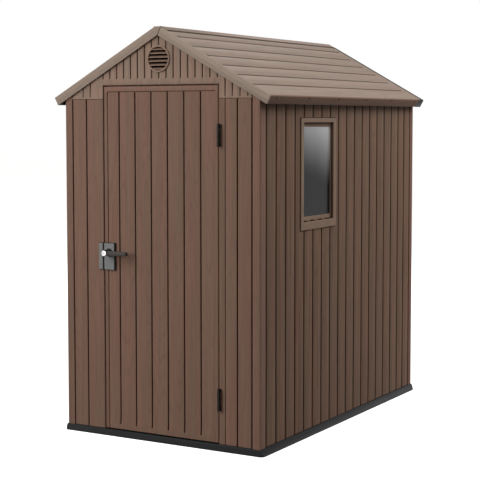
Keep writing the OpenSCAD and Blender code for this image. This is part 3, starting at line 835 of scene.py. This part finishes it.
def floor_sheet():
    """The inside floor: a thin sheet of shallow square pads, parted by sunk lines both ways."""
    pitch, top, sunk = 60, 1.6, ([0, 1.5, 3], [1.2, 1.2, 0])
    inner_x, inner_y = HALF_WIDTH - WALL - 0.5, REAR - WALL - 0.5
    across = np.arange(-9, 10) * pitch
    along_lines = np.arange(-14, 15) * pitch
    a = stations(-inner_x, inner_x, (across, sunk[0]))
    h = stations(FRONT + 30, inner_y, (along_lines, sunk[0]))

    def pads(a, h):
        return np.maximum(cut(nearest(a, across), sunk), cut(nearest(h, along_lines), sunk)) - top

    form = slab(a, h, pads, even(0.05), even(0.4), even(0))
    piece("floor_pads", placed(form, (0, 0, FLOOR_TOP), (1, 0, 0), (0, 1, 0)), "shed", "black_resin",
          floor_black)


floor_sheet()

# ---------- vents and window ----------


def vent(name, node, side):
    """A round vent: a rounded flange ring with a tube behind it, and tilted slats whose ends run
    into the tube's wall, each outline point as far out as the circle is wide there. The slats and
    the tube are painted darker towards the inside: painted shade."""
    low, high = corners(node)
    middle = (low[2] + high[2]) / 2
    slats, pitch, half, thick, tilt = 6, 19, 7.6, 2.2, math.radians(38)
    profile = [[57, WALL, 0.9], [57, 2, 0.8], [57, -3, 0.3], [58.2, -4.5, 0], [60.5, -5, 0],
               [63.5, -4.8, 0], [65.3, -3.6, 0], [66, -1.6, 0.1], [66, 0, 0.7], [60, 0, 1],
               [60, WALL, 1]]
    forms = [turned(profile, (0, 0, middle), 64, whole=True)]
    section = np.array([[-half, -thick / 2], [1 - half, -thick], [half, -thick], [half, thick],
                        [1 - half, thick], [-half, thick / 2]])
    y = 4 + section[:, 0] * math.cos(tilt) - section[:, 1] * math.sin(tilt)
    for k in range(slats):
        z = ((k - (slats - 1) / 2) * pitch + section[:, 0] * math.sin(tilt)
             + section[:, 1] * math.cos(tilt))
        reach = np.sqrt(58.5**2 - z**2)
        forms.append(tube([np.stack([s * reach, y, z + middle], -1) for s in (-1, 1)],
                          mark=[0, 0.1, 0.9, 0.9, 0.1, 0]))
    piece(name, placed(together(*forms), *SIDES[side], UPRIGHT), "shed", "brown_resin",
          plain_brown, node)


vent("gable_vent_front", "front_vent", "front")
vent("gable_vent_rear", "rear_vent", "rear")

# The window's surround: a proud band round the opening, and a sleeve back through the wall. Its outer
# sides darken towards the wall, and its reveal and back darken inwards: painted shade.
proud = frame_high[0] - HALF_WIDTH
surround = [(0, 0, 0, 0.9), (0, 0, 1.5 - proud, 0.1), (1.5, 0, -proud, 0), (-1.5, 1, -proud, 0),
            (0, 1, 1.5 - proud, 0.1), (0, 1, 2, 0.7), (0, 1, WALL, 0.9), (LAP_OVER, 0, WALL, 0.8),
            (LAP_OVER, 0, 0, 0.9)]
piece("window_surround", placed(mitred(surround, window[::2], window[1::2], (30, 30, 40, 23)),
                                *SIDES["right"], UPRIGHT),
      "shed", "brown_resin", boards_window, "window_frame")
softened("window_inner_frame", "window_sash", "shed", boards_window, 1)
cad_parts["window_pane"].data.materials.clear()
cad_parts["window_pane"].data.materials.append(glazing())

# ---------- hinges and handle ----------


def bar(middle, low, high, domed):
    """An upright bar with a rounded-square section: full size between its ends, and drawn in at
    each end over a short height, more if that end is domed."""
    plain, dome = ([0, 0.6], [0.93, 1]), ([0, 0.8, 2.2, 4.5], [0.45, 0.74, 0.93, 1])
    levels, sizes = [], []
    for end, way, drawn_in in zip((low, high), (1, -1), domed):
        steps, scale = dome if drawn_in else plain
        levels += [end + way * d for d in steps][::way]
        sizes += scale[::way]
    outline = squared(6, 7, 3.4, 24)
    return tube([np.concatenate([outline * s + middle, np.full((24, 1), z)], -1)
                 for z, s in zip(levels, sizes)])


def column(outline, low, high):
    """A plan outline carried straight up."""
    return tube([np.concatenate([outline, np.full((len(outline), 1), z)], -1) for z in (low, high)])


def hinge(level):
    """A hinge: an end knuckle above and below on a carrier, with the door's knuckle and its leaf
    between them."""
    low, high = corners(f"hinge_{level}_jamb")
    inner_low, inner_high = (c[2] for c in corners(f"hinge_{level}_door"))
    pin = np.array([(low[0] + high[0]) / 2, low[1] + 7])
    face, gap, inset = FRONT - pin[1], 0.5, 4
    carrier = np.array([(-2, 3), (5, 3), (5, face), (-2, face)]) + pin
    leaf = np.array([(-15, face), (-15, face - 3), (-9, face - 3), (-5, 4), (-1, 4), (-1, 9),
                     (-8, face)]) + pin
    fixed = []
    for z0, z1, domed in ((low[2], inner_low - gap, (True, False)),
                          (inner_high + gap, high[2], (False, True))):
        fixed += [bar(pin, z0, z1, domed), column(carrier, z0 + inset, z1 - inset)]
    piece(f"hinge_{level}_wall_side", together(*fixed), "shed", "black_resin", hinge_black,
          f"hinge_{level}_jamb")
    piece(f"hinge_{level}_door_side", together(
        bar(pin, inner_low, inner_high, (False, False)), column(leaf, inner_low, inner_high)),
        "door", "black_resin", hinge_black, f"hinge_{level}_door")


hinge("upper")
hinge("lower")
lever_tip = corners("door_lever")[1][0]
lock_low, lock_high = corners("lock_cylinder")
AXIS = np.array([(lock_low[0] + lock_high[0]) / 2, 0, (lock_low[2] + lock_high[2]) / 2])


def plates():
    """The two lock plates: each a grey cover with rounded edges, its sides painted black as painted
    shade, on a black sheet that shows beside and above it as a painted shadow."""
    thick = 10
    for node, body in (("jamb_plate", "shed"), ("lock_plate", "door")):
        (a0, _, z0), (a1, _, z1) = corners(node)
        along, levels = stations(a0, a1, ([a0, a1], EDGE)), stations(z0, z1, ([z0, z1], EDGE))

        def inset(a, h):
            return np.minimum.reduce([a - a0, a1 - a, h - z0, z1 - h])

        # The cover's sides are marked black: painted shade.
        form = slab(along, levels, lambda a, h: rounded(inset(a, h), 2), even(thick),
                    even(0), lambda a, h: 1.0 * (inset(a, h) < 0.5))
        piece(f"{node}_cover", placed(form, (0, FRONT - thick, 0), (1, 0, 0), UPRIGHT), body,
              "grey_metal", plate_grey, node)
        # A black sheet behind the plate that shows round its edges: painted shadow.
        b0, b1 = (a0 + 1, a1 + 4) if body == "door" else (a0 - 1, a1 - 1)
        back = [[(x, y, z) for x, z in ((b0, z0 - 2), (b1, z0 - 2), (b1, z1 + 2.5), (b0, z1 + 2.5))]
                for y in (FRONT - 6, FRONT + 0.4)]
        piece(f"{node}_shadow_sheet", tube(back), body, "black_resin", hinge_black)


def lever():
    """The lever: a turned hub, and an arm whose sections are rounded squares that shrink from the
    root to the tip and close in a half round, with a darker root and tip. A round boss on the door
    carries it."""
    face = lock_high[1]
    back = face + 18
    hub = turned([[0.01, face], [14.6, face], [15.6, face + 0.5], [16, face + 1.6], [16, back - 1],
                  [15.2, back], [0.01, back]], AXIS, 48)
    reach, tip = lever_tip - AXIS[0], 9.0
    s = np.concatenate([np.linspace(6, reach - tip, 12),
                        reach - tip + tip * np.sin(np.radians([15, 30, 45, 60, 75, 86]))])
    fade = np.sqrt(np.clip(1 - (np.clip(s - (reach - tip), 0, None) / tip) ** 2, 0.004, 1))
    tall, deep = np.interp(s, [0, reach - tip], [13, 10]) * fade, 8.8 * fade
    y, z = squared(1, 1, 3.2, 24).T
    rings = [np.stack([np.full(24, AXIS[0] + at), (face + back) / 2 + d * y, AXIS[2] + t * z], -1)
             for at, d, t in zip(s, deep, tall)]
    dark = np.interp(s, [18, 30, reach - 16, reach - 6], [0.9, 0, 0, 0.9])[:, None]
    spindle = turned([[0.01, back], [6, back], [6, back + 20], [0.01, back + 20]], AXIS, 24)
    hub = (hub[0], hub[1], hub[2] + 0.9, hub[3])
    piece("lever_arm", together(hub, tube(rings, mark=dark), spindle), "lever", "black_resin",
          lever_black, "door_lever", crease=40)
    rest = FRONT - 10
    boss = [[6.2, back + 1], [13, back + 1], [14, back + 2], [14, rest - 3.4], [19.5, rest - 3.2],
            [21, rest - 1.8], [21, rest + 0.4], [6.2, rest + 0.4]]
    piece("lever_boss", turned(boss, AXIS, 48, whole=True), "door", "black_resin", black)


def lock_face():
    """The lock's face: a rim, a fine ring groove and a sunk plug with an upright key slot."""
    front = lock_low[1]
    # The fine ring groove and the key slot are painted dark: painted shade.
    rim = [[0.01, front + 0.9], [5.6, front + 0.9], [5.8, front + 0.2, 0.3], [6.4, front + 0.6, 1],
           [7.0, front + 0.1, 0.2], [11.6, front], [12.8, front + 0.5], [13.3, front + 1.6],
           [13.3, lock_high[1]], [0.01, lock_high[1]]]
    disc = turned([[*row, 0][:3] for row in rim], AXIS, 48)
    slot = [AXIS + [x, front + y, z] for y in (0.5, 1.5) for x, z in
            ((-1, -3.5), (1, -3.5), (1, 3.5), (-1, 3.5))]
    piece("lock_face", together(disc, tube(np.reshape(slot, (2, 4, 3)), mark=1.0)), "lever",
          "bright_metal", bright, "lock_cylinder")


plates()
lever()
lock_face()

# ---------- studio ----------


def studio():
    """Pale floor, white surroundings, soft lamps and the camera."""
    scene = bpy.context.scene
    link = scene.collection.objects.link
    scene.world = bpy.data.worlds.new("surroundings")
    scene.world.use_nodes = True
    air = Nodes(scene.world.node_tree)
    light = air.node("ShaderNodeBackground", {}, {"Color": (1, 0.94, 0.88, 1), "Strength": 0.18})
    white = air.node("ShaderNodeBackground", {}, {"Color": (1, 1, 1, 1), "Strength": 1.0})
    sky = air.node("ShaderNodeMixShader", {}, {0: air.seen_rays(), 1: light, 2: white})
    out = air.tree.nodes.new("ShaderNodeOutputWorld")
    air.put(out.inputs["Surface"], sky)

    half = 40.0
    mesh = bpy.data.meshes.new("studio_floor")
    mesh.from_pydata([(-half, -half, 0), (half, -half, 0), (half, half, 0), (-half, half, 0)],
                     [], [(0, 1, 2, 3)])
    ground = bpy.data.objects.new("studio_floor", mesh)
    link(ground)
    f = Finish("pale floor", Specular_IOR_Level=0.0, Emission_Strength=1.0)
    seen = f.seen_rays()
    grit = f.noise(f.stretched(f.place(), (3, 3, 3)))
    f.feed("Base Color", f.blend(seen, (0.06, 0.06, 0.06, 1), (0.80, 0.80, 0.80, 1)))
    f.feed("Emission Color", f.blend(seen, (0, 0, 0, 1), (0.87, 0.87, 0.87, 1)))
    f.feed("Roughness", 0.9 + (grit - 0.5) * 0.02)
    mesh.materials.append(f.material)

    def lamp(name, place, aim, size, power):
        data = bpy.data.lights.new(name, "AREA")
        data.shape, data.size, data.size_y, data.energy = "RECTANGLE", *size, power
        made = bpy.data.objects.new(name, data)
        link(made)
        aim = np.array(aim, float) - np.array(place, float)
        pitch = math.atan2(aim[2], math.hypot(aim[0], aim[1]))
        made.location = place
        made.rotation_euler = (math.pi / 2 + pitch, 0, math.atan2(aim[1], aim[0]) - math.pi / 2)

    lamp("key", (-3.4, -5.6, 5.2), (0, -0.9, 1.7), (4.5, 3.5), 230)
    lamp("front_low", (-2.4, -6.0, 2.2), (0, -0.9, 1.4), (2.5, 2.0), 112)
    lamp("side_front", (2.9, -3.4, 4.6), (0.57, -0.9, 1.4), (1.4, 1.4), 18)
    lamp("side_near", (1.9, -0.6, 4.0), (0.6, -0.3, 1.5), (1.4, 1.4), 27)
    lamp("side_far", (3.2, 3.0, 3.6), (0.6, 0.9, 1.3), (1.6, 1.6), 80)
    lamp("back", (-4.0, 6.0, 3.6), (0, 0.5, 1.2), (3.0, 3.0), 160)

    camera = bpy.data.cameras.new("camera")
    camera.sensor_width, camera.lens = 36, 99.11
    camera.shift_x, camera.shift_y = -0.01998, -0.06085
    viewer = bpy.data.objects.new("camera", camera)
    viewer.location = (3.59559, -6.29377, 1.60414)
    viewer.rotation_euler = (math.radians(90 - 3.9961), 0, math.radians(29.8216))
    link(viewer)
    scene.camera = viewer
    scene.view_settings.view_transform = "Standard"


studio()
